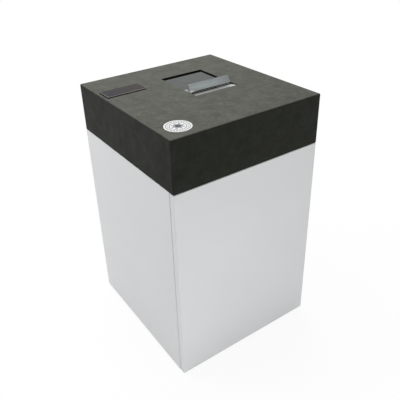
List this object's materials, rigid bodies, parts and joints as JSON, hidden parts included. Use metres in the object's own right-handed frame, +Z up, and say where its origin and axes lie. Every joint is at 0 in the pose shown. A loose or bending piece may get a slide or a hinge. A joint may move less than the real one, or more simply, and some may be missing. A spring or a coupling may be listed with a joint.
{
  "type": "media shredder",
  "caption": "Floor-standing media shredder: grey cabinet with pull-out waste drawer, dark hood with hinged steel feed flap, geared cutter shafts inside.",
  "frame": {"origin": "on the floor under the middle of the hood's footprint", "axes": "+Z up, -Y towards the front panel and the user, +X towards the right side with the controls"},
  "size_m": [0.508, 0.5334, 0.8342],
  "materials": {
    "hood_paint": "near-black satin powder coat",
    "cabinet_paint": "light grey powder coat",
    "dark_paint": "dark grey primer coat",
    "bare_steel": "brushed bare steel",
    "cutter_steel": "hardened ground steel",
    "gear_steel": "machined steel",
    "zinc_steel": "zinc-plated steel",
    "motor_paint": "blue-grey enamel on cast iron",
    "gearhead_alloy": "cast alloy",
    "rubber": "black rubber",
    "black_plastic": "moulded black plastic",
    "grey_plastic": "moulded grey plastic",
    "bin_plastic": "moulded dark grey plastic",
    "plate_finish": "dark glossy plate with a bright bevel",
    "plaque_print": "printed white disc",
    "green_plastic": "green button cap",
    "white_plastic": "white button cap",
    "red_plastic": "red button cap",
    "lamp_lens": "amber lens"
  },
  "bodies": {
    "cabinet": {"base_pan": "dark_paint", "rubber_feet": "rubber", "left_side_panel": "cabinet_paint", "right_side_panel": "cabinet_paint", "rear_panel": "cabinet_paint", "hood_shell": "hood_paint", "hood_gasket": "rubber", "hood_screws": "gear_steel", "frame_rails": "dark_paint", "machine_deck": "dark_paint", "name_plate": "plate_finish", "round_plaque": "plaque_print", "feed_chute": "bare_steel", "flap_hinge_fixed_leaf": "bare_steel", "flap_hinge_pin": "bare_steel", "flap_rest_pads": "rubber", "gear_side_plate": "bare_steel", "bearing_side_plate": "bare_steel", "block_walls": "bare_steel", "cleaning_combs": "cutter_steel", "shaft_bearings": "gear_steel", "block_bolts": "gear_steel", "discharge_chute": "bare_steel", "idler_stud": "gear_steel", "gearhead": "gearhead_alloy", "motor_housing": "motor_paint", "fan_cowl": "black_plastic", "terminal_box": "black_plastic", "motor_cradle": "dark_paint", "control_box": "grey_plastic", "motor_lead": "rubber", "control_pocket": "black_plastic", "button_switches": "black_plastic", "pilot_lamp": "lamp_lens", "power_inlet": "black_plastic", "runner_outer": "zinc_steel"},
    "flap": {"feed_flap": "bare_steel", "flap_hinge_moving_leaf": "bare_steel"},
    "front_shaft": {"front_cutter_shaft": "cutter_steel", "front_cutter_discs": "cutter_steel", "front_spacers": "cutter_steel", "front_sync_gear": "gear_steel"},
    "rear_shaft": {"rear_cutter_shaft": "cutter_steel", "rear_cutter_discs": "cutter_steel", "rear_spacers": "cutter_steel", "rear_sync_gear": "gear_steel"},
    "idler": {"idler_gear": "gear_steel"},
    "pinion": {"drive_pinion": "gear_steel", "output_shaft": "gear_steel"},
    "fan": {"cooling_fan": "black_plastic"},
    "start": {"start_button": "green_plastic"},
    "reverse": {"reverse_button": "white_plastic"},
    "stop": {"stop_button": "red_plastic"},
    "rocker": {"power_rocker": "black_plastic"},
    "drawer": {"front_panel": "cabinet_paint", "front_panel_backing": "cabinet_paint", "drawer_tray": "dark_paint", "waste_bin": "bin_plastic", "runner_inner": "zinc_steel"},
    "runner_middles": {"runner_middle": "zinc_steel"}
  },
  "joints": [
    {"name": "flap_hinge", "type": "hinge", "parent": "cabinet", "child": "flap", "pos_m": [0.044, 0.133, 0.8043], "axis": [-1, 0, 0], "range_deg": [0, 85]},
    {"name": "drawer_slide", "type": "slide", "parent": "cabinet", "child": "drawer", "axis": [0, -1, 0], "range_m": [0, 0.38]},
    {"name": "runner_middle_slide", "type": "slide", "parent": "cabinet", "child": "runner_middles", "axis": [0, -1, 0], "range_m": [0, 0.19]},
    {"name": "front_shaft_spin", "type": "hinge", "parent": "cabinet", "child": "front_shaft", "pos_m": [0.044, 0.011, 0.596], "axis": [1, 0, 0], "continuous": true},
    {"name": "rear_shaft_spin", "type": "hinge", "parent": "cabinet", "child": "rear_shaft", "pos_m": [0.044, 0.091, 0.596], "axis": [1, 0, 0], "continuous": true},
    {"name": "idler_spin", "type": "hinge", "parent": "cabinet", "child": "idler", "pos_m": [0.044, -0.06667, 0.65899], "axis": [1, 0, 0], "continuous": true},
    {"name": "pinion_spin", "type": "hinge", "parent": "cabinet", "child": "pinion", "pos_m": [0.044, -0.15, 0.62], "axis": [1, 0, 0], "continuous": true},
    {"name": "fan_spin", "type": "hinge", "parent": "cabinet", "child": "fan", "pos_m": [0.1905, -0.15, 0.62], "axis": [1, 0, 0], "continuous": true},
    {"name": "start_press", "type": "slide", "parent": "cabinet", "child": "start", "axis": [-1, 0, 0], "range_m": [0, 0.003], "stiffness_N_per_m": 500},
    {"name": "reverse_press", "type": "slide", "parent": "cabinet", "child": "reverse", "axis": [-1, 0, 0], "range_m": [0, 0.003], "stiffness_N_per_m": 500},
    {"name": "stop_press", "type": "slide", "parent": "cabinet", "child": "stop", "axis": [-1, 0, 0], "range_m": [0, 0.003], "stiffness_N_per_m": 500},
    {"name": "rocker_tip", "type": "hinge", "parent": "cabinet", "child": "rocker", "pos_m": [0.197, 0.2582, 0.613], "axis": [1, 0, 0], "range_deg": [0, 20]}
  ],
  "couplings": [
    {"joint": "runner_middle_slide", "follows": "drawer_slide", "ratio": 0.5},
    {"joint": "rear_shaft_spin", "follows": "front_shaft_spin", "ratio": -1},
    {"joint": "idler_spin", "follows": "front_shaft_spin", "ratio": -0.66667},
    {"joint": "pinion_spin", "follows": "front_shaft_spin", "ratio": 1.25},
    {"joint": "fan_spin", "follows": "front_shaft_spin", "ratio": 25}
  ]
}
